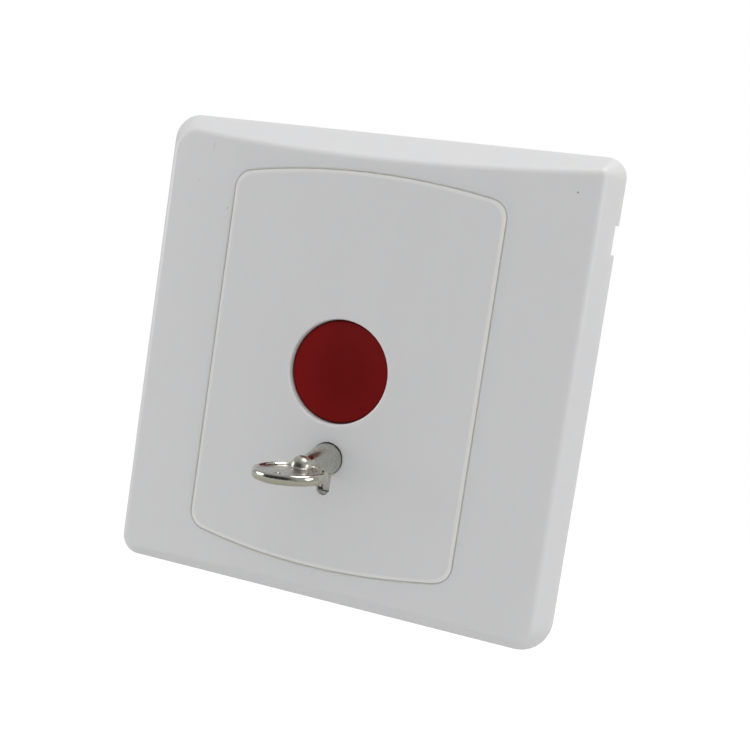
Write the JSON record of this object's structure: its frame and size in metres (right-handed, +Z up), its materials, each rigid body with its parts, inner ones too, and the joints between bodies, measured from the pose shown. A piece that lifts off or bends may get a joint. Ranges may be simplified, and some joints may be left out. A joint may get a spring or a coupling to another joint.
{
  "type": "key reset emergency switch",
  "caption": "Square wall plate with a latching red push button that a key below it resets.",
  "frame": {"origin": "middle of the two wall screw slots, on the wall's surface", "axes": "+X to the right as seen from the front, +Y into the wall, +Z up; the front faces -Y"},
  "size_m": [0.086, 0.0594, 0.086],
  "materials": {
    "white_plastic": "satin moulded, white",
    "red_plastic": "polished, dark red",
    "natural_plastic": "natural, undyed",
    "black_plastic": "moulded, fine spark texture",
    "nickel_plate": "bright nickel plate",
    "zinc_steel": "bright zinc plate",
    "spring_steel": "drawn wire",
    "brass": "stamped strip",
    "silver_contact": "dull silver"
  },
  "bodies": {
    "root": {"cover_frame": "white_plastic", "centre_panel": "white_plastic", "mounting_plate": "white_plastic", "panel_screws": "zinc_steel", "return_spring": "spring_steel", "latch_spring": "spring_steel", "switch_housing": "black_plastic", "rear_cover": "black_plastic", "housing_screws": "zinc_steel", "common_blade": "brass", "closed_blade": "brass", "open_blade": "brass", "common_contact": "silver_contact", "closed_contact": "silver_contact", "open_contact": "silver_contact", "terminal_screws": "zinc_steel", "terminal_clamps": "zinc_steel", "terminal_nuts": "brass"},
    "button": {"button_cap": "red_plastic", "plunger": "natural_plastic"},
    "rotor": {"key_rotor": "natural_plastic", "release_cam": "natural_plastic", "cam_screw": "zinc_steel"},
    "key": {"reset_key": "nickel_plate"},
    "latch": {"latch_plate": "zinc_steel"}
  },
  "joints": [
    {"name": "button_press", "type": "slide", "parent": "root", "child": "button", "axis": [0, 1, 0], "range_m": [0, 0.0025], "stiffness_N_per_m": 1200, "springref_m": -0.002, "deforming": ["return_spring", "common_blade", "common_contact"]},
    {"name": "key_turn", "type": "hinge", "parent": "root", "child": "rotor", "pos_m": [0.0005, 0, -0.0154], "axis": [0, 1, 0], "range_deg": [0, 90]},
    {"name": "key_pull", "type": "slide", "parent": "rotor", "child": "key", "axis": [0, -1, 0], "range_m": [0, 0.03]},
    {"name": "latch_lift", "type": "slide", "parent": "root", "child": "latch", "axis": [0, 0, 1], "range_m": [0, 0.0012], "deforming": ["latch_spring"]}
  ],
  "couplings": [
    {"joint": "key_turn", "follows": "latch_lift", "rad_per_m": 1309}
  ]
}
